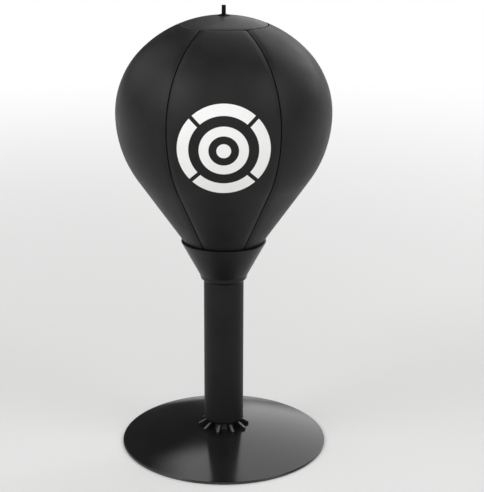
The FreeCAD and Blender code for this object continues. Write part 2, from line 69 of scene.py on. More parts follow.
Piece = bpy.types.Object
Socket = bpy.types.NodeSocket
Material = bpy.types.Material
Point = tuple[float, float]
Colour = tuple[float, float, float]
Place = tuple[float, float, float]
Inputs = Mapping[str | int, object]


class Body(Enum):
    """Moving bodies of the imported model."""

    FOOT = "foot"
    POST = "post"
    HEAD = "head"


class Slot(Enum):
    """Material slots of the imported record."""

    FOOT = "foot_rubber"
    SLEEVE = "sleeve_rubber"
    CUP = "cup_plastic"
    LEATHERETTE = "leatherette"
    BLADDER = "bladder_rubber"
    STEEL = "steel"
    VALVE = "valve_metal"


# Modelling by operators


def deselect() -> None:
    """Leave edit mode and select nothing."""
    if bpy.context.mode != "OBJECT":
        bpy.ops.object.mode_set(mode="OBJECT")
    bpy.ops.object.select_all(action="DESELECT")


def choose(piece: Piece) -> None:
    """Make a piece the only selected one, and the active one.

    Args:
        piece: the object to work on.
    """
    deselect()
    piece.select_set(True)
    bpy.context.view_layer.objects.active = piece


def made(name: str) -> Piece:
    """Name the piece that the last operator made."""
    piece = bpy.context.active_object
    piece.name = name
    return piece


def edit(piece: Piece) -> None:
    """Open a piece in edit mode with all of it selected.

    Args:
        piece: the object to work on.
    """
    choose(piece)
    bpy.ops.object.mode_set(mode="EDIT")
    bpy.ops.mesh.select_mode(type="VERT")
    bpy.ops.mesh.select_all(action="SELECT")


def settle(piece: Piece) -> None:
    """Leave edit mode and move a piece's place into its mesh."""
    choose(piece)
    bpy.ops.object.transform_apply(location=True, rotation=True, scale=True)


def pick(piece: Piece, wanted: Callable[[Vector], bool]) -> None:
    """Select the vertices that a test wants, and open the piece in edit mode.

    Args:
        piece: the object to work on.
        wanted: a test of a vertex's place.
    """
    edit(piece)
    bpy.ops.mesh.select_all(action="DESELECT")
    bpy.ops.object.mode_set(mode="OBJECT")
    for vertex in piece.data.vertices:
        vertex.select = wanted(vertex.co)
    bpy.ops.object.mode_set(mode="EDIT")


def apply_modifier(piece: Piece, kind: str, **settings: object) -> None:
    """Add a modifier to a piece and apply it.

    Args:
        piece: the object to change.
        kind: the modifier's type.
        **settings: the modifier's properties.
    """
    choose(piece)
    modifier = piece.modifiers.new(kind.lower(), kind)
    for name, value in settings.items():
        setattr(modifier, name, value)
    bpy.ops.object.modifier_apply(modifier=modifier.name)


def round_edges(piece: Piece, radius: float, angle: float) -> None:
    """Round a piece's edges sharper than an angle in degrees, by a radius in millimetres."""
    limits = {"limit_method": "ANGLE", "angle_limit": math.radians(angle)}
    apply_modifier(piece, "BEVEL", width=radius * MM, segments=3, **limits)


def smooth(piece: Piece, angle: float) -> None:
    """Shade a piece smooth, apart from edges sharper than an angle in degrees."""
    choose(piece)
    bpy.ops.object.shade_smooth_by_angle(angle=math.radians(angle))


def upright(point: Point, azimuth: float = 0.0) -> Vector:
    """Place of an outline's point, in metres, in the plane at an angle from +X about Z."""
    out, up = point
    return Vector((out * math.cos(azimuth), out * math.sin(azimuth), up)) * MM


def trace(name: str, outline: Sequence[Point], azimuth: float = 0.0) -> Piece:
    """Draw an outline as a chain of edges in an upright plane through the axis.

    Args:
        name: the new piece's name.
        outline: the outline's points.
        azimuth: angle of the plane from +X about Z.

    Returns:
        The new piece, open in edit mode with the whole chain selected.
    """
    deselect()
    bpy.ops.mesh.primitive_plane_add(size=MM, location=upright(outline[0], azimuth))
    piece = made(name)
    edit(piece)
    bpy.ops.mesh.merge(type="CENTER")
    for here, there in pairwise(outline):
        step = upright(there, azimuth) - upright(here, azimuth)
        bpy.ops.mesh.extrude_region_move(TRANSFORM_OT_translate={"value": step})
    settle(piece)
    edit(piece)
    return piece


def spin(steps: int, angle: float = FULL_TURN) -> None:
    """Spin what is selected about the upright axis, clockwise seen from above."""
    bpy.ops.mesh.spin(steps=steps, angle=angle, center=(0, 0, 0), axis=(0, 0, 1))


def face_out(piece: Piece, inner: Callable[[Vector], Vector]) -> None:
    """Merge a mesh's doubles and turn its faces away from its inside.

    Args:
        piece: the object to clean.
        inner: a place inside the piece, for a place on its surface.
    """
    edit(piece)
    bpy.ops.mesh.remove_doubles(threshold=MERGED)
    bpy.ops.mesh.normals_make_consistent(inside=False)
    bpy.ops.object.mode_set(mode="OBJECT")
    faces = piece.data.polygons
    outward = (face.area * face.normal.dot(face.center - inner(face.center)) for face in faces)
    if sum(outward) < 0:
        edit(piece)
        bpy.ops.mesh.flip_normals()
    deselect()


def origin(_: Vector) -> Vector:
    """The frame's origin, which lies below every piece."""
    return Vector((0, 0, 0))


def spun(
    name: str, outline: Sequence[Point], steps: int, inner: Callable[[Vector], Vector] = origin
) -> Piece:
    """Spin an outline all the way round the axis, and turn its faces outward.

    Args:
        name: the new piece's name.
        outline: the outline's points.
        steps: faces round the piece.
        inner: a place inside the piece, for a place on its surface.

    Returns:
        The new piece.
    """
    piece = trace(name, outline)
    spin(steps)
    face_out(piece, inner)
    return piece


def turn(name: str, outline: Sequence[Point], steps: int, angle: float = 30.0) -> Piece:
    """Spin a solid.

    Args:
        name: the new piece's name.
        outline: its points. Both ends lie on the axis, or it is closed by a run between them.
        steps: faces round the piece.
        angle: the least angle of an edge that stays sharp, in degrees.

    Returns:
        The new piece: a closed solid.
    """
    ring = min(outline[0][0], outline[-1][0]) > 0
    piece = spun(name, [*outline, outline[0]] if ring else outline, steps)
    smooth(piece, angle)
    return piece


def arc(centre: Point, radius: float, start: float, end: float, spacing: float) -> list[Point]:
    """Points along an arc of an outline.

    Args:
        centre: the arc's centre.
        radius: its radius.
        start: angle of its first point, from straight outwards, up positive.
        end: angle of its last point.
        spacing: the most between two points.

    Returns:
        The points, both ends among them.
    """
    count = max(1, math.ceil(abs(end - start) * radius / spacing))
    angles = (start + (end - start) * i / count for i in range(count + 1))
    return [(centre[0] + radius * math.cos(a), centre[1] + radius * math.sin(a)) for a in angles]


def line(start: Point, end: Point, spacing: float) -> list[Point]:
    """Points of a straight run, both ends among them, and no more than a spacing apart."""
    count = max(1, math.ceil(math.dist(start, end) / spacing))
    return [
        (start[0] + (end[0] - start[0]) * i / count, start[1] + (end[1] - start[1]) * i / count)
        for i in range(count + 1)
    ]


def joined(*runs: Sequence[Point]) -> list[Point]:
    """One outline from runs that follow each other.

    Args:
        *runs: lists of points.

    Returns:
        The points, without those that repeat the one before.
    """
    points = [runs[0][0]]
    for point in (point for run in runs for point in run):
        if math.dist(point, points[-1]) > SAME_POINT:
            points.append(point)
    return points


def round_corner(before: Point, corner: Point, after: Point, radius: float) -> list[Point]:
    """Points round a corner of an outline, tangent to both of its sides.

    Args:
        before: a point on the side that comes to the corner.
        corner: the sharp corner.
        after: a point on the side that leaves it.
        radius: the rounding's radius.

    Returns:
        The rounding's points, no more than 18 degrees apart.
    """
    here = Vector(corner)
    back, on = (Vector(before) - here).normalized(), (Vector(after) - here).normalized()
    half = back.angle(on) / 2
    middle = here + (back + on).normalized() * (radius / math.sin(half))
    reach = radius / math.tan(half)
    first, last = here + back * reach - middle, here + on * reach - middle
    start = math.atan2(first.y, first.x)
    sweep = (math.atan2(last.y, last.x) - start + math.pi) % FULL_TURN - math.pi
    count = max(3, math.ceil(abs(sweep) / math.radians(18)))
    angles = (start + sweep * i / count for i in range(count + 1))
    return [(middle.x + radius * math.cos(a), middle.y + radius * math.sin(a)) for a in angles]


# Finishes


class Tree:
    """A node tree, with short calls for the nodes that finishes and studio share."""

    def __init__(self, tree: bpy.types.NodeTree) -> None:
        """Take a node tree to add nodes to."""
        self.tree = tree

    def first(self, kind: str) -> bpy.types.Node:
        """The first node of a type, such as one that the tree has from the start."""
        return next(node for node in self.tree.nodes if node.type == kind)

    def connect(self, socket: Socket, value: object) -> None:
        """Link an input to an output, or set its constant.

        Args:
            socket: the input.
            value: an output, a number or a colour.
        """
        if isinstance(value, Socket):
            self.tree.links.new(value, socket)
        elif socket.type == "RGBA":
            socket.default_value = (*value[:3], 1.0)
        else:
            socket.default_value = value

    def add(self, kind: str, inputs: Inputs | None = None, **settings: object) -> bpy.types.Node:
        """Add a node.

        Args:
            kind: the node's type, without its prefix.
            inputs: a link or a constant for each input named.
            **settings: the node's properties.

        Returns:
            The new node.
        """
        node = self.tree.nodes.new("ShaderNode" + kind)
        for name, value in settings.items():
            setattr(node, name, value)
        for key, value in (inputs or {}).items():
            self.connect(node.inputs[key], value)
        return node

    def math(self, operation: str, *values: object) -> Socket:
        """Result of a named sum of links or constants."""
        return self.add("Math", dict(enumerate(values)), operation=operation).outputs[0]

    def far(self, first: Socket, second: Socket) -> Socket:
        """Distance from the middle of a plane, from two coordinates."""
        squares = (self.math("MULTIPLY", part, part) for part in (first, second))
        return self.math("SQRT", self.math("ADD", *squares))

    def remap(
        self, value: Socket, start: Point, end: Point = (0.0, 1.0), eased: bool = False
    ) -> Socket:
        """Stretch a number from one range to another, and hold it inside.

        Args:
            value: the number.
            start: the range it comes from.
            end: the range it goes to.
            eased: whether it eases in and out.

        Returns:
            The new number.
        """
        inputs = {0: value, 1: start[0], 2: start[1], 3: end[0], 4: end[1]}
        kind = "SMOOTHSTEP" if eased else "LINEAR"
        return self.add("MapRange", inputs, interpolation_type=kind).outputs[0]


class Surface(Tree):
    """A material's tree: one principled shader, and patterns in the object's own coordinates."""

    def __init__(self, name: str) -> None:
        """Make a material.

        Args:
            name: the material's name.
        """
        self.material = bpy.data.materials.new(name)
        self.material.use_nodes = True
        super().__init__(self.material.node_tree)
        self.shader = self.first("BSDF_PRINCIPLED")
        self.place = self.add("TexCoord").outputs["Object"]

    def noise(self, scale: float, detail: float = 3.0, place: Socket | None = None) -> Socket:
        """Soft random pattern from 0 to 1, with so many cells in a metre and octaves of detail."""
        inputs = {"Vector": place or self.place, "Scale": scale, "Detail": detail}
        return self.add("TexNoise", inputs).outputs[0]

    def mix(self, share: Socket, first: object, second: object) -> Socket:
        """Mix of two links or colours, with a share of the second."""
        return self.add("Mix", {0: share, 6: first, 7: second}, data_type="RGBA").outputs[2]

    def bump(self, height: Socket, depth: float, under: Socket | None = None) -> Socket:
        """Surface relief.

        Args:
            height: the relief from 0 to 1.
            depth: its real depth, in millimetres.
            under: an earlier relief that it lies on.

        Returns:
            The bent normal.
        """
        inputs: dict[str, object] = {"Height": height, "Distance": depth * MM, "Strength": 1.0}
        if under is not None:
            inputs["Normal"] = under
        return self.add("Bump", inputs).outputs[0]

    def finish(self, **sockets: object) -> Material:
        """Set the shader's sockets.

        Args:
            **sockets: link or constant for each socket, with underscores for spaces.

        Returns:
            The finished material.
        """
        for name, value in sockets.items():
            self.connect(self.shader.inputs[name.replace("_", " ")], value)
        return self.material


@dataclass(frozen=True)
class Roundel:
    """Generic target printed in white: a dot and two rings, the outer one cut on the diagonals."""

    height: float = 301.0
    edge: float = 0.25
    dot: float = 6.0
    rings: tuple[Point, ...] = ((12.5, 20.5), (29.0, 38.5))
    cut_from: float = 25.0
    cut_width: float = 3.4

    def mask(self, nodes: Surface) -> Socket:
        """Where the print is, from 0 to 1.

        Args:
            nodes: the material's tree.

        Returns:
            The mask.
        """
        lowered = {"Vector": nodes.place, "Location": (0, 0, -self.height * MM)}
        moved = nodes.add("Mapping", lowered, vector_type="POINT").outputs[0]
        parts = nodes.add("SeparateXYZ", {0: moved}).outputs
        across, up = (nodes.math("ABSOLUTE", parts[axis]) for axis in (0, 2))
        far = nodes.far(across, up)
        soft = self.edge * MM / 2

        def within(value: Socket, limit: float) -> Socket:
            """1 where a distance is under a limit, 0 past it, and a narrow slope between."""
            return nodes.remap(value, (limit - soft, limit + soft), (1.0, 0.0))

        shown = within(far, self.dot * MM)
        for inner, outer in self.rings:
            ring = nodes.math("SUBTRACT", within(far, outer * MM), within(far, inner * MM))
            shown = nodes.math("ADD", shown, ring)
        slant = nodes.math("ABSOLUTE", nodes.math("SUBTRACT", across, up))
        cut = within(slant, self.cut_width * MM / math.sqrt(2))
        cut = nodes.math("MULTIPLY", cut, nodes.math("GREATER_THAN", far, self.cut_from * MM))
        return nodes.math("MULTIPLY", shown, nodes.math("SUBTRACT", 1.0, cut))


@dataclass(frozen=True)
class Leatherette:
    """Black leatherette with a fine pebbled grain, and a print where one is given."""

    name: str = "leatherette"
    colour: Colour = (0.0060, 0.0060, 0.0063)
    worn: Colour = (0.0095, 0.0094, 0.0096)
    pebble: float = 0.85
    relief: float = 0.045
    roughness: Point = (0.40, 0.52)
    specular: float = 0.22
    motif: Roundel | None = None
    ink: Colour = (0.86, 0.86, 0.85)
    thin_ink: float = 0.95
    ink_roughness: float = 0.06
    ink_depth: float = 0.03

    def material(self) -> Material:
        """Build the material.

        Returns:
            The material.
        """
        nodes = Surface(self.name)
        grain = {"Vector": nodes.place, "Scale": 1 / (self.pebble * MM)}
        cells = nodes.add("TexVoronoi", grain, feature="SMOOTH_F1").outputs["Distance"]
        drift = nodes.noise(scale=38.0, detail=4.0)
        fine = nodes.math("MULTIPLY", nodes.noise(scale=2600.0, detail=2.0), 0.25)
        height = nodes.math("ADD", nodes.math("MULTIPLY", cells, -1.0), fine)
        colour = nodes.mix(nodes.remap(drift, (0.35, 0.7), eased=True), self.colour, self.worn)
        rough = nodes.remap(drift, (0.3, 0.7), self.roughness)
        rough = nodes.math("ADD", rough, nodes.remap(cells, (0.0, 0.8), (-0.03, 0.05)))
        normal = nodes.bump(height, self.relief)
        if self.motif is not None:
            mask = self.motif.mask(nodes)
            thin = [part * self.thin_ink for part in self.ink]
            ink = nodes.mix(nodes.remap(nodes.noise(scale=55.0), (0.3, 0.8)), self.ink, thin)
            colour = nodes.mix(mask, colour, ink)
            rough = nodes.math("ADD", rough, nodes.math("MULTIPLY", mask, self.ink_roughness))
            normal = nodes.bump(mask, self.ink_depth, normal)
        shine = {"Roughness": rough, "Specular_IOR_Level": self.specular}
        return nodes.finish(Base_Color=colour, Normal=normal, **shine)


@dataclass(frozen=True)
class Moulded:
    """Moulded plastic, rubber or lacquer: one colour, a faint texture and slow changes of gloss."""

    name: str
    colour: Colour
    worn: Colour
    roughness: Point
    texture: float
    relief: float
    ripple: float = 0.0
    specular: float = 0.5

    def material(self) -> Material:
        """Build the material.

        Returns:
            The material.
        """
        nodes = Surface(self.name)
        drift = nodes.noise(scale=24.0, detail=4.0)
        colour = nodes.mix(nodes.remap(drift, (0.35, 0.7), eased=True), self.colour, self.worn)
        scuff = nodes.remap(nodes.noise(scale=160.0, detail=5.0), (0.55, 0.8), eased=True)
        scuffed = nodes.math("MULTIPLY", scuff, (self.roughness[1] - self.roughness[0]) / 2)
        rough = nodes.math("ADD", nodes.remap(drift, (0.3, 0.7), self.roughness), scuffed)
        normal = nodes.bump(nodes.noise(scale=1 / (self.texture * MM), detail=2.0), self.relief)
        if self.ripple > 0:
            normal = nodes.bump(nodes.noise(scale=60.0, detail=1.0), self.ripple, normal)
        shine = {"Roughness": rough, "Specular_IOR_Level": self.specular}
        return nodes.finish(Base_Color=colour, Normal=normal, **shine)


@dataclass(frozen=True)
class Metal:
    """Bare steel, finely turned."""

    name: str
    colour: Colour
    stained: Colour
    roughness: Point
    turned: float = 0.02
    squeeze: float = 12.0

    def material(self) -> Material:
        """Build the material.

        Returns:
            The material.
        """
        nodes = Surface(self.name)
        stain = nodes.remap(nodes.noise(scale=70.0, detail=5.0), (0.45, 0.75), eased=True)
        squeezed = {"Vector": nodes.place, "Scale": (1, 1, self.squeeze)}
        place = nodes.add("Mapping", squeezed).outputs[0]
        marks = nodes.noise(scale=700.0, place=place)
        return nodes.finish(
            Base_Color=nodes.mix(stain, self.colour, self.stained),
            Roughness=nodes.remap(nodes.math("ADD", stain, marks), (0.3, 1.3), self.roughness),
            Normal=nodes.bump(marks, self.turned),
            Metallic=1.0,
        )


FOOT_GLOSS = Moulded(
    "foot_gloss", colour=(0.008, 0.008, 0.0084), worn=(0.011, 0.011, 0.0114),
    roughness=(0.10, 0.17), texture=0.9, relief=0.004, ripple=0.02,
)
RIB_SIDE = Moulded(
    "rib_satin", colour=(0.006, 0.006, 0.0062), worn=(0.009, 0.009, 0.0092),
    roughness=(0.35, 0.48), texture=0.6, relief=0.01, specular=0.15,
)
# Painted highlight: a lighter colour on the ribs' up-facing faces, for the light that falls on
# their tops.
RIB_PAINTED_HIGHLIGHT = Moulded(
    "rib_painted_highlight", colour=(0.060, 0.060, 0.061), worn=(0.080, 0.080, 0.081),
    roughness=(0.30, 0.42), texture=0.6, relief=0.01,
)
SLEEVE_SATIN = Moulded(
    "sleeve_satin", colour=(0.0065, 0.0065, 0.0068), worn=(0.0095, 0.0095, 0.0098),
    roughness=(0.42, 0.52), texture=0.5, relief=0.012, specular=0.16,
)
CUP_PLASTIC = Moulded(
    "cup_moulded", colour=(0.0060, 0.0060, 0.0063), worn=(0.0090, 0.0090, 0.0093),
    roughness=(0.28, 0.36), texture=0.45, relief=0.008, specular=0.18,
)
SEAT_PLASTIC = Moulded(
    "seat_moulded", colour=(0.030, 0.030, 0.032), worn=(0.045, 0.045, 0.047),
    roughness=(0.42, 0.55), texture=0.5, relief=0.02,
)
BLADDER_RUBBER = Moulded(
    "bladder_rubber", colour=(0.006, 0.006, 0.006), worn=(0.010, 0.010, 0.009),
    roughness=(0.55, 0.7), texture=0.7, relief=0.02, specular=0.2,
)
LACQUER = Moulded(
    "black_lacquer", colour=(0.0035, 0.0035, 0.0036), worn=(0.0060, 0.0059, 0.0058),
    roughness=(0.30, 0.42), texture=0.4, relief=0.004, specular=0.06,
)
STEEL = Metal(
    "turned_steel", colour=(0.56, 0.56, 0.57), stained=(0.42, 0.41, 0.40),
    roughness=(0.24, 0.42),
)


# Sub-assemblies


@dataclass
class Assembly:
    """A group of pieces that are built, dressed and carried together."""

    pieces: list[Piece] = field(default_factory=list, init=False)

    def dress(self, piece: Piece, finish: Material, slot: Slot, *replaced: str) -> Piece:
        """Give a piece its material, and hide the solids that it stands for.

        Args:
            piece: the new piece.
            finish: its material.
            slot: the record's slot that its finish comes from. Not used.
            *replaced: names of the solids that it replaces.

        Returns:
            The piece.
        """
        piece.data.name = piece.name
        piece.data.materials.clear()
        piece.data.materials.append(finish)
        if replaced:
            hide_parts(*replaced)
        self.pieces.append(piece)
        return piece

    def repaint(self, finish: Material, *names: str) -> None:
        """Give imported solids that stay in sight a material.

        Args:
            finish: the material.
            *names: the solids' names.
        """
        for name in names:
            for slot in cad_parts[name].material_slots:
                slot.material = finish

    def report(self) -> None:
        """Log each piece of the group with its size."""
        for piece in self.pieces:
            size = ", ".join(f"{side / MM:.1f}" for side in piece.dimensions)
            group, faces = type(self).__name__, len(piece.data.polygons)
            LOG.info("%s: %s, %d faces, %s mm", group, piece.name, faces, size)


@dataclass
class Foot(Assembly):
    """Suction cup: the domed disc with its hub, and the ribs round the hub."""

    radius: float = 95.2
    edge: float = 2.4
    dome: float = 416.0
    dome_top: float = 15.0
    hub: float = 13.0
    hub_top: float = 20.4
    hub_fillet: float = 0.8
    hub_rounding: float = 0.5
    hollow: Point = (16.0, 8.0)
    seal: float = 9.0
    steps: int = 160
    stud_room: tuple[float, float, float, float] = (4.05, 10.05, 10.0, 13.0)
    ribs: int = 10
    rib_thickness: float = 2.4
    rib_shoulder: float = 17.0
    rib_end: Point = (23.5, 16.5)
    rib_root: Point = (11.8, 11.5)
    rib_turn: float = 4.0
    rib_bevel: float = 0.22
    rib_bevel_angle: float = 20.0
    # Rib faces whose normal leans up more than this get the painted highlight.
    painted_highlight_slope: float = 0.6

    def disc_outline(self) -> list[Point]:
        """Outline of the suction cup, from its hollow's middle round to the stud's room.

        Returns:
            The outline's points.
        """
        half = self.edge / 2
        rim_out = self.radius - half
        foot, head = (self.hub, self.dome_top), (self.hub, self.hub_top)
        upper = self.dome_arc(foot, (rim_out, self.edge))
        under = self.dome_arc(self.hollow, (self.radius - self.seal, 0.0))
        bore, room, room_base, room_top = self.stud_room
        # The fillet stands in for the two points of the dome that are nearest to the hub.
        fillet = round_corner(head, foot, upper[3], self.hub_fillet)
        lip = round_corner(foot, head, (bore, self.hub_top), self.hub_rounding)
        return joined(
            line((0.0, self.hollow[1]), self.hollow, spacing=4.0),
            under,
            line((self.radius - self.seal, 0.0), (rim_out, 0.0), spacing=2.0),
            arc((rim_out, half), half, -QUARTER_TURN, QUARTER_TURN, spacing=0.35),
            upper[::-1][:-2],
            fillet[::-1],
            lip,
            [(bore, self.hub_top), (bore, room_top), (room, room_top)],
            [(room, room_base), (0.0, room_base)],
        )

    def dome_arc(self, start: Point, end: Point) -> list[Point]:
        """Points of the dome between two of its points, bulging up.

        Args:
            start: the point nearer to the axis.
            end: the point farther out.

        Returns:
            The points from start to end.
        """
        first, last = Vector(start), Vector(end)
        chord = last - first
        away = math.sqrt(self.dome**2 - chord.length_squared / 4)
        normal = Vector((chord.y, -chord.x)).normalized()
        centre = (first + last) / 2 + normal * away
        angles = [math.atan2(point.y - centre.y, point.x - centre.x) for point in (first, last)]
        return arc((centre.x, centre.y), self.dome, *angles, spacing=2.0)

    def build_ribs(self) -> Piece:
        """Model one rib and set its copies round the hub.

        Returns:
            All the ribs as one piece.
        """
        root, base = self.rib_root
        reach, end_height = self.rib_end
        shoulder, top = self.rib_shoulder, self.hub_top
        deselect()
        bpy.ops.mesh.primitive_cube_add(size=1.0)
        rib = made("foot_ribs")
        rib.scale = ((shoulder - root) * MM, self.rib_thickness * MM, (top - base) * MM)
        rib.location = ((root + (shoulder - root) / 2) * MM, 0, (top + base) / 2 * MM)
        settle(rib)
        pick(rib, lambda co: co.x > shoulder * MM - ON_PLANE)
        out = ((reach - shoulder) * MM, 0, 0)
        bpy.ops.mesh.extrude_region_move(TRANSFORM_OT_translate={"value": out})
        pick(rib, lambda co: co.x > shoulder * MM + ON_PLANE and co.z > top * MM - ON_PLANE)
        bpy.ops.transform.translate(value=(0, 0, (end_height - top) * MM))
        deselect()
        round_edges(rib, self.rib_bevel, self.rib_bevel_angle)
        smooth(rib, angle=40)
        copies = [rib]
        for index in range(1, self.ribs):
            choose(rib)
            bpy.ops.object.duplicate()
            copy = bpy.context.active_object
            copy.rotation_euler.z = FULL_TURN * index / self.ribs
            settle(copy)
            copies.append(copy)
        choose(rib)
        for copy in copies:
            copy.select_set(True)
        bpy.ops.object.join()
        rib.rotation_euler.z = math.radians(self.rib_turn)
        settle(rib)
        return rib

    def build(self) -> None:
        """Build and dress the foot."""
        disc = turn("foot_disc", self.disc_outline(), self.steps)
        self.dress(disc, FOOT_GLOSS.material(), Slot.FOOT, "suction_cup")
        ribs = self.dress(self.build_ribs(), RIB_SIDE.material(), Slot.FOOT, "suction_cup")
        # Faces that lean up past the slope get the painted highlight; the rest keep the ribs' own
        # black.
        ribs.data.materials.append(RIB_PAINTED_HIGHLIGHT.material())
        for face in ribs.data.polygons:
            face.material_index = int(face.normal.z > self.painted_highlight_slope)
        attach(disc, Body.FOOT.value)
        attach(ribs, Body.FOOT.value)


@dataclass
class Post(Assembly):
    """Spring and sleeve, each in a lower and an upper half that meet at the middle."""

    radius: float = 18.2
    wall: float = 4.2
    bottom: float = 20.5
    top: float = 164.9
    rounding: float = 4.0
    middle: float = 92.5
    lower_bend: float = 44.5
    upper_bend: float = 140.5
    wire: float = 2.2
    coil: float = 10.8
    coil_ends: Point = (27.2, 158.2)
    quarter_turns: int = 51
    wire_sides: int = 14
    turn_steps: int = 28
    steps: int = 96

    def sleeve_half(self, name: str, low: float, high: float) -> Piece:
        """Spin one half of the sleeve.

        Args:
            name: the piece's name.
            low: height of its lower end.
            high: height of its upper end.

        Returns:
            The half, a closed tube.
        """
        bore = self.radius - self.wall
        outer = [(self.radius, low)]
        if low == self.bottom:
            centre = (self.radius - self.rounding, low + self.rounding)
            outer = arc(centre, self.rounding, -QUARTER_TURN, 0, spacing=0.5)
        outside = line(outer[-1], (self.radius, high), spacing=2.0)
        inside = line((bore, high), (bore, low), spacing=2.0)[:-1]
        return turn(name, joined([(bore, low)], outer, outside, inside), self.steps, angle=35)

    def spring_half(self, name: str, first: int, last: int) -> Piece:
        """Wind one half of the spring.

        Args:
            name: the piece's name.
            first: quarter turn that it starts at.
            last: quarter turn that it ends at.

        Returns:
            The half, one closed wire.
        """
        low, high = self.coil_ends
        rise = (high - low) / (2 * self.quarter_turns)
        count = last - first
        steps = self.turn_steps * count // 4
        deselect()
        bpy.ops.mesh.primitive_circle_add(
            vertices=self.wire_sides, radius=self.wire * MM,
            location=(self.coil * MM, 0, 0), rotation=(QUARTER_TURN, 0, 0),
        )
        wire = made(name)
        settle(wire)
        apply_modifier(
            wire, "SCREW", angle=QUARTER_TURN * count, screw_offset=rise * count * MM,
            steps=steps, render_steps=steps, use_merge_vertices=False,
        )
        wire.rotation_euler.z = QUARTER_TURN * first
        wire.location.z = (low + rise * first) * MM
        settle(wire)
        edit(wire)
        bpy.ops.mesh.select_mode(type="EDGE")
        bpy.ops.mesh.select_all(action="DESELECT")
        bpy.ops.mesh.select_non_manifold(extend=False)
        bpy.ops.mesh.fill_holes(sides=self.wire_sides)
        bpy.ops.mesh.select_all(action="SELECT")
        bpy.ops.mesh.normals_make_consistent(inside=False)
        deselect()
        smooth(wire, angle=50)
        return wire

    def bend(self, piece: Piece, lower: bool) -> None:
        """Move a half's place into its mesh.

        Args:
            piece: the half.
            lower: whether it is the lower one. Not used.
        """
        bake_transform(piece)

    def build(self) -> None:
        """Build and dress the sleeve and the spring."""
        satin, steel = SLEEVE_SATIN.material(), STEEL.material()
        ends, count = (self.bottom, self.middle, self.top), self.quarter_turns
        for index, side in enumerate(("lower", "upper")):
            sleeve = self.sleeve_half(f"sleeve_{side}", ends[index], ends[index + 1])
            self.bend(self.dress(sleeve, satin, Slot.SLEEVE, "post_sleeve"), index == 0)
            spring = self.spring_half(f"spring_{side}", count * index, count * (index + 1))
            self.bend(self.dress(spring, steel, Slot.STEEL, "coil_spring"), index == 0)
        self.repaint(steel, "anchor_stud", "base_washer", "base_nut")
        self.repaint(steel, "head_washer", "head_nut", "head_bolt", "anchor_plate")
        self.repaint(SEAT_PLASTIC.material(), "lower_spring_seat", "upper_spring_seat")


@dataclass
class Meridian:
    """The ball's outline: crown, shoulder and flank arcs, each tangent to the next, and a cone."""

    radius: float = 95.2
    widest: float = 313.7
    crown_rise: float = 84.9
    shoulder: float = 77.3
    flank: float = 101.7
    heel: Point = (16.0, 168.0)

    def __post_init__(self) -> None:
        """Work out the arcs' centres and the cone's slant."""
        rise, reach = self.crown_rise, self.radius
        square = reach * reach - 2 * reach * self.shoulder + rise * rise
        self.crown = square / (2 * (rise - self.shoulder))
        self.top = self.widest + rise
        self.crown_centre = self.top - self.crown
        self.join = math.atan2(self.widest - self.crown_centre, reach - self.shoulder)
        out, up = self.heel[0] - (reach - self.flank), self.heel[1] - self.widest
        square = out * out + up * up
        tangent = math.sqrt(square - self.flank**2)
        self.slant = math.atan2(self.flank * up + tangent * out, self.flank * out - tangent * up)

    def crown_point(self, out: float) -> Point:
        """The point of the crown at a distance from the axis."""
        return out, self.crown_centre + math.sqrt(self.crown**2 - out * out)

    def cone_out(self, height: float, inset: float) -> float:
        """The cone's radius.

        Args:
            height: the height where it is read.
            inset: how far inside the surface.

        Returns:
            The radius.
        """
        reach = self.flank - inset
        start = self.radius - self.flank + reach * math.cos(self.slant)
        return start - math.tan(self.slant) * (height - self.widest - reach * math.sin(self.slant))

    def down(self, inset: float, top_radius: float, bottom: float, spacing: float) -> list[Point]:
        """Points down the ball.

        Args:
            inset: how far inside the surface they lie.
            top_radius: distance of the first from the axis.
            bottom: height of the last.
            spacing: the most between two of them.

        Returns:
            The points, from the crown down.
        """
        crown, shoulder, flank = (part - inset for part in (self.crown, self.shoulder, self.flank))
        start = math.acos(top_radius / crown)
        upper = arc((0.0, self.crown_centre), crown, start, self.join, spacing)
        shoulder_centre = (self.radius - self.shoulder, self.widest)
        middle = arc(shoulder_centre, shoulder, self.join, 0.0, spacing)
        flank_centre = (self.radius - self.flank, self.widest)
        lower = arc(flank_centre, flank, 0.0, self.slant, spacing)
        cone = line(lower[-1], (self.cone_out(bottom, inset), bottom), spacing)
        return joined(upper, middle, lower, cone)


@dataclass
class Cup(Assembly):
    """Moulded funnel that holds the ball's lower end."""

    meridian: Meridian = field(default_factory=Meridian)
    socket: float = 18.3
    bottom: float = 159.7
    lip: float = 0.5
    chamfer: Point = (21.0, 161.6)
    band: Point = (21.8, 165.0)
    bore: float = 4.05
    floor: float = 168.0
    clear: float = 0.3
    rim_wall: float = 1.93
    rim_top: float = 197.0
    rounding: float = 0.9
    edge: float = 0.15
    steps: int = 128

    def outline(self) -> list[Point]:
        """Outline of the funnel.

        Returns:
            The outline's points, from the bolt's hole down, out, up and back in.
        """
        mouth = (self.meridian.cone_out(self.rim_top, -self.clear), self.rim_top)
        heel = (self.meridian.cone_out(self.floor, -self.clear), self.floor)
        curl = (mouth[0] + self.rim_wall - self.rounding, self.rim_top - self.rounding)
        wall = (curl[0] + self.rounding, curl[1])
        lip = (self.socket + self.lip, self.bottom)
        inner = round_corner(curl, mouth, heel, self.edge)
        return joined(
            line((self.bore, self.band[1]), (self.socket, self.band[1]), spacing=4.0),
            line((self.socket, self.band[1]), (self.socket, self.bottom), spacing=2.0),
            [lip],
            round_corner(lip, self.chamfer, self.band, self.edge),
            round_corner(self.chamfer, self.band, wall, self.edge),
            line(self.band, wall, spacing=2.0)[1:],
            arc(curl, self.rounding, 0.0, QUARTER_TURN, spacing=0.2),
            inner,
            line(inner[-1], heel, spacing=2.5),
            line(heel, (self.bore, self.floor), spacing=3.0),
        )

    def build(self) -> None:
        """Build and dress the funnel."""
        funnel = turn("cup_funnel", self.outline(), self.steps)
        self.dress(funnel, CUP_PLASTIC.material(), Slot.CUP, "bag_cup")
        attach(funnel, Body.HEAD.value)


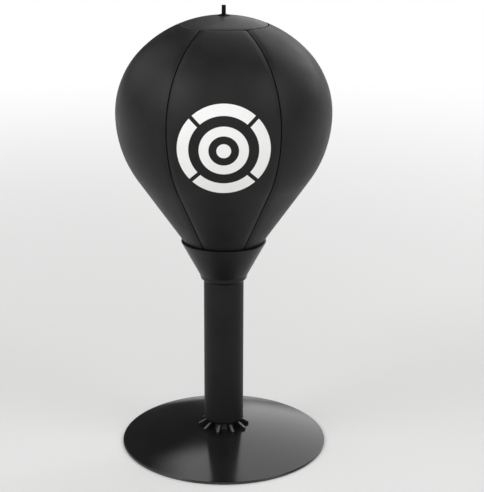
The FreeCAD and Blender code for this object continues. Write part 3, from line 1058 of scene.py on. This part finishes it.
@dataclass
class Ball(Assembly):
    """Six leatherette gores, their round top panel and heel disc, and the bladder inside."""

    meridian: Meridian = field(default_factory=Meridian)
    gores: int = 6
    cap: float = 39.0
    bottom: float = 168.1
    thickness: float = 1.5
    seam: float = 1.1
    seam_turn: float = 4.0
    sunk: float = 0.55
    sunk_reach: float = 4.5
    rolled: float = 0.6
    rolled_angle: float = 50.0
    spacing: float = 3.0
    gore_steps: int = 24
    border_steps: int = 4
    valve_hole: float = 4.0
    cap_rows: int = 18
    cap_drops: Point = (0.06, 0.30)
    cap_steps: int = 96
    bolt_hole: float = 4.05
    heel_clearance: float = 0.3
    heel_rolled: float = 0.3
    heel_steps: int = 64
    bladder_inset: float = 1.8
    bladder_wall: float = 0.8
    bladder_rolled: float = 0.2
    bladder_neck: float = 5.8
    bladder_base: float = 178.1
    bladder_steps: int = 72

    def inside(self, place: Vector) -> Vector:
        """The axis at a place's height, or at the ball's widest height where that is lower."""
        return Vector((0, 0, min(place.z, self.meridian.widest * MM)))

    def skin(self, piece: Piece, thickness: float, rolled: float) -> Piece:
        """Give an open surface a wall with rolled edges.

        Args:
            piece: the surface, faces outward.
            thickness: the wall.
            rolled: radius of the edges.

        Returns:
            The piece.
        """
        wall = thickness * MM
        apply_modifier(piece, "SOLIDIFY", thickness=wall, offset=-1.0, use_even_offset=True)
        round_edges(piece, rolled, self.rolled_angle)
        smooth(piece, angle=40)
        return piece

    def gore(self, index: int) -> Piece:
        """Sew one gore.

        Args:
            index: its number from 0, which is the front one.

        Returns:
            The gore.
        """
        pitch = FULL_TURN / self.gores
        middle = pitch * index - QUARTER_TURN
        rows = self.meridian.down(0.0, self.cap + self.seam / 2, self.bottom, self.spacing)
        piece = trace(f"gore_{index + 1}", rows, middle - pitch / 2)
        border = math.radians(self.seam_turn)
        edge = (self.border_steps, -border)
        for steps, angle in (edge, (self.gore_steps, 2 * border - pitch), edge):
            spin(steps, angle)
        face_out(piece, self.inside)
        for side in (-1, 1):
            self.trim(piece, middle + side * pitch / 2, side)
        return self.skin(piece, self.thickness, self.rolled)

    def trim(self, piece: Piece, seam: float, side: int) -> None:
        """Cut a gore beside a seam, and draw its edge down into the seam.

        Args:
            piece: the gore.
            seam: the seam's angle from +X about Z.
            side: 1 where the gore lies clockwise of the seam, and -1 where it doesn't.
        """
        across = Vector((-math.sin(seam), math.cos(seam), 0)) * side
        half = self.seam / 2 * MM
        edit(piece)
        bpy.ops.mesh.bisect(plane_co=-across * half, plane_no=across, clear_outer=True)
        pick(piece, lambda co: abs(co.dot(across) + half) < ON_PLANE)
        bpy.ops.transform.shrink_fatten(
            value=-self.sunk * MM, use_proportional_edit=True,
            proportional_edit_falloff="SMOOTH", proportional_size=self.sunk_reach * MM,
        )
        deselect()

    def top_panel(self) -> Piece:
        """Cut the round panel on the crown.

        Returns:
            The panel, with the valve's hole in its middle.
        """
        start, reach = self.valve_hole, self.cap - self.seam / 2 - self.valve_hole
        radii = (start + reach * i / self.cap_rows for i in range(self.cap_rows + 1))
        rows = [self.meridian.crown_point(out) for out in radii]
        for row, drop in zip((-2, -1), self.cap_drops):
            rows[row] = (rows[row][0], rows[row][1] - drop)
        panel = spun("crown_cap", rows, self.cap_steps)
        return self.skin(panel, self.thickness, self.rolled)

    def heel_disc(self) -> Piece:
        """Cut the leatherette disc under the holding plate.

        Returns:
            The disc.
        """
        base = self.meridian.heel[1]
        edge = self.meridian.cone_out(base, self.thickness) - self.heel_clearance
        top = base + self.thickness
        rows = line((self.bolt_hole, top), (edge, top), spacing=1.5)
        disc = spun("heel_disc", rows, self.heel_steps)
        return self.skin(disc, self.thickness, self.heel_rolled)

    def inner_ball(self) -> Piece:
        """Blow up the bladder.

        Returns:
            The bladder, open at the crown.
        """
        base = self.bladder_base
        rows = self.meridian.down(self.bladder_inset, self.bladder_neck, base, spacing=5.0)
        rows = joined(rows, line(rows[-1], (0.0, base), spacing=4.0))
        bladder = spun("inner_ball", rows, self.bladder_steps, self.inside)
        return self.skin(bladder, self.bladder_wall, self.bladder_rolled)

    def build(self) -> None:
        """Build and dress the ball."""
        plain = Leatherette().material()
        printed = Leatherette(name="printed_leatherette", motif=Roundel()).material()
        for index in range(self.gores):
            finish = plain if index else printed
            self.dress(self.gore(index), finish, Slot.LEATHERETTE, f"panel_{index + 1}")
        crown = Leatherette(name="crown_leatherette", specular=0.5).material()
        self.dress(self.top_panel(), crown, Slot.LEATHERETTE, "top_panel")
        self.dress(self.heel_disc(), plain, Slot.LEATHERETTE, "bottom_panel")
        rubber = BLADDER_RUBBER.material()
        self.dress(self.inner_ball(), rubber, Slot.BLADDER, "bladder")
        self.repaint(rubber, "bladder_valve")
        self.repaint(LACQUER.material(), "grommet_ring")
        for piece in self.pieces:
            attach(piece, Body.HEAD.value)


@dataclass
class Valve(Assembly):
    """Eyelet on the crown and the pin that stands in it."""

    crown: float = 398.6
    flange: float = 5.5
    brim: float = 0.3
    top: float = 399.8
    shoulder: float = 2.3
    eye: float = 1.6
    barrel: Point = (2.9, 3.9)
    barrel_base: float = 396.22
    pin: float = 1.5
    pin_base: float = 391.8
    collar: float = 1.85
    pin_top: float = 407.4
    pin_edge: float = 0.45
    pin_flat: float = 0.6
    collar_run: Point = (0.5, 1.0)
    gap: float = 0.05
    droop: float = 0.12
    ledge: float = 0.1
    brim_edge: float = 0.15
    neck_edge: float = 0.4
    eye_edge: float = 0.12
    collar_edge: float = 0.1
    eyelet_steps: int = 48
    pin_steps: int = 36

    def eyelet_outline(self) -> list[Point]:
        """Outline of the eyelet, from its barrel's base out, up and back in.

        Returns:
            The outline's points.
        """
        bore, barrel = self.barrel
        rim, neck = (self.flange, self.crown + self.brim), (self.shoulder, self.top)
        eye, ledge = (self.eye, self.top), self.crown + self.ledge
        return joined(
            [(bore, self.barrel_base), (barrel, self.barrel_base), (barrel, self.crown - self.gap)],
            [(self.flange, self.crown - self.droop)],
            round_corner((self.flange, self.crown), rim, neck, self.brim_edge),
            round_corner(rim, neck, eye, self.neck_edge),
            round_corner(neck, eye, (self.eye, self.crown), self.eye_edge),
            [(self.eye, ledge), (bore, ledge)],
        )

    def pin_outline(self) -> list[Point]:
        """Outline of the pin, from its base on the axis to its top.

        Returns:
            The outline's points.
        """
        out, base = self.collar, self.top + self.gap
        foot, corner = (out, base), (out, self.pin_top)
        low, high = self.collar_run
        return joined(
            [(0.0, self.pin_base), (self.pin, self.pin_base), (self.pin, base)],
            round_corner((self.pin, base), foot, corner, self.collar_edge),
            line((out, base + low), (out, self.pin_top - high), spacing=1.5),
            round_corner(foot, corner, (0.0, self.pin_top), self.pin_edge),
            [(self.pin_flat, self.pin_top), (0.0, self.pin_top)],
        )

    def build(self) -> None:
        """Build and dress the eyelet and the pin."""
        eyelet = turn("valve_eyelet", self.eyelet_outline(), self.eyelet_steps)
        pin = turn("valve_pin", self.pin_outline(), self.pin_steps)
        lacquer = LACQUER.material()
        for piece, node in ((eyelet, "valve_grommet"), (pin, "valve_stem")):
            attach(self.dress(piece, lacquer, Slot.VALVE, node), Body.HEAD.value)


# Studio


class Way(Enum):
    """Directions that bound the bright areas of the surroundings."""

    RIGHT = (1.0, 0.0, 0.0)
    LEFT = (-1.0, 0.0, 0.0)
    BACK = (0.0, 1.0, 0.0)
    FRONT = (0.0, -1.0, 0.0)
    UP = (0.0, 0.0, 1.0)
    DOWN = (0.0, 0.0, -1.0)


@dataclass(frozen=True)
class Glow:
    """A bright area: for each way that bounds it, the lean of none and of full light."""

    strength: float
    sides: Mapping[Way, Point]


@dataclass(frozen=True)
class Softbox:
    """A soft rectangular lamp, aimed at the middle of the ball and the post."""

    name: str
    place: Place
    size: Point
    power: float


@dataclass
class Studio:
    """Pale floor, soft light and camera."""

    floor_size: float = 60.0
    floor_colour: Colour = (0.74, 0.74, 0.735)
    fade: Point = (0.30, 2.0)
    ambient: float = 0.04
    glows: tuple[Glow, ...] = (
        Glow(0.95, {Way.FRONT: (0.0, 0.7)}),
        Glow(0.25, {Way.UP: (0.6, 0.95)}),
        Glow(1.50, {
            Way.RIGHT: (-0.02, 0.06), Way.BACK: (0.25, 0.55),
            Way.UP: (-0.05, 0.20), Way.DOWN: (-0.90, -0.82),
        }),
        Glow(1.50, {
            Way.LEFT: (-0.05, 0.0), Way.RIGHT: (-0.28, -0.12), Way.BACK: (0.3, 0.5),
            Way.UP: (0.60, 0.72), Way.DOWN: (-0.90, -0.82),
        }),
        Glow(1.35, {Way.LEFT: (0.40, 0.70), Way.UP: (0.08, 0.38), Way.DOWN: (-0.85, -0.65)}),
        Glow(0.80, {
            Way.RIGHT: (0.50, 0.85), Way.FRONT: (0.05, 0.35),
            Way.UP: (0.10, 0.35), Way.DOWN: (-0.85, -0.65),
        }),
    )
    softboxes: tuple[Softbox, ...] = (
        Softbox("back_right_softbox", (1.29, 1.08, 1.19), (1.1, 1.3), 4.0),
        Softbox("left_softbox", (-1.36, -0.72, 1.42), (1.0, 1.0), 8.0),
        Softbox("right_softbox", (1.36, -0.72, 1.42), (1.0, 1.0), 7.0),
    )
    target: Place = (0.0, 0.0, 0.25)
    camera_place: Place = (0.0, -1.1261, 0.5435)
    camera_down: float = 17.388
    lens: float = 95.23
    shift: float = 0.0371

    def build_floor(self) -> None:
        """Lay the floor: it keeps the shadow near the object and goes white far from it."""
        deselect()
        bpy.ops.mesh.primitive_plane_add(size=self.floor_size)
        floor = made("floor")
        nodes = Surface("pale_floor")
        parts = nodes.add("SeparateXYZ", {0: nodes.place}).outputs
        far = nodes.remap(nodes.far(parts[0], parts[1]), self.fade, eased=True)
        path = nodes.add("LightPath").outputs
        seen = nodes.math("MAXIMUM", path["Is Camera Ray"], path["Is Glossy Ray"])
        seen = nodes.math("MAXIMUM", seen, path["Is Transmission Ray"])
        glow = nodes.add("Emission", {"Color": (1, 1, 1), "Strength": 1.0}).outputs[0]
        nodes.finish(Base_Color=self.floor_colour, Roughness=0.7, Specular_IOR_Level=0.2)
        layers = {0: nodes.math("MULTIPLY", far, seen), 1: nodes.shader.outputs[0], 2: glow}
        shown = nodes.add("MixShader", layers).outputs[0]
        nodes.connect(nodes.first("OUTPUT_MATERIAL").inputs[0], shown)
        floor.data.materials.append(nodes.material)

    def build_world(self) -> None:
        """Light from all round: a dim even light, with the bright areas added to it."""
        world = bpy.data.worlds.new("studio")
        bpy.context.scene.world = world
        world.use_nodes = True
        tree = Tree(world.node_tree)
        look = tree.add("TexCoord").outputs["Generated"]
        total: Socket | float = self.ambient
        for glow in self.glows:
            shown: Socket | float = glow.strength
            for way, bounds in glow.sides.items():
                lean = tree.add("VectorMath", {0: look, 1: way.value}, operation="DOT_PRODUCT")
                share = tree.remap(lean.outputs["Value"], bounds, eased=True)
                shown = tree.math("MULTIPLY", shown, share)
            total = tree.math("ADD", total, shown)
        background = tree.first("BACKGROUND")
        tree.connect(background.inputs["Strength"], total)
        tree.connect(background.inputs["Color"], (1.0, 1.0, 1.0))

    def hang(self, softbox: Softbox) -> None:
        """Hang a soft lamp.

        Args:
            softbox: the lamp.
        """
        deselect()
        bpy.ops.object.light_add(type="AREA", location=softbox.place)
        lamp = made(softbox.name)
        lamp.data.shape = "RECTANGLE"
        lamp.data.size, lamp.data.size_y = softbox.size
        lamp.data.energy = softbox.power
        aim = Vector(self.target) - Vector(softbox.place)
        lamp.rotation_euler = aim.to_track_quat("-Z", "Y").to_euler()

    def build_camera(self) -> None:
        """Set the camera at the photograph's angle."""
        deselect()
        tilt = math.radians(90 - self.camera_down)
        bpy.ops.object.camera_add(location=self.camera_place, rotation=(tilt, 0, 0))
        camera = bpy.context.active_object
        camera.data.lens = self.lens
        camera.data.shift_x = self.shift
        bpy.context.scene.camera = camera

    def build(self) -> None:
        """Build the studio."""
        self.build_floor()
        self.build_world()
        for softbox in self.softboxes:
            self.hang(softbox)
        self.build_camera()
        bpy.context.scene.view_settings.view_transform = "Standard"


def main() -> None:
    """Build every sub-assembly and the studio, and report the pieces."""
    logging.basicConfig(level=logging.INFO, format="%(name)s %(message)s")
    for group in (Foot(), Post(), Cup(), Ball(), Valve()):
        group.build()
        group.report()
    Studio().build()
    deselect()


if __name__ == "__main__":
    main()
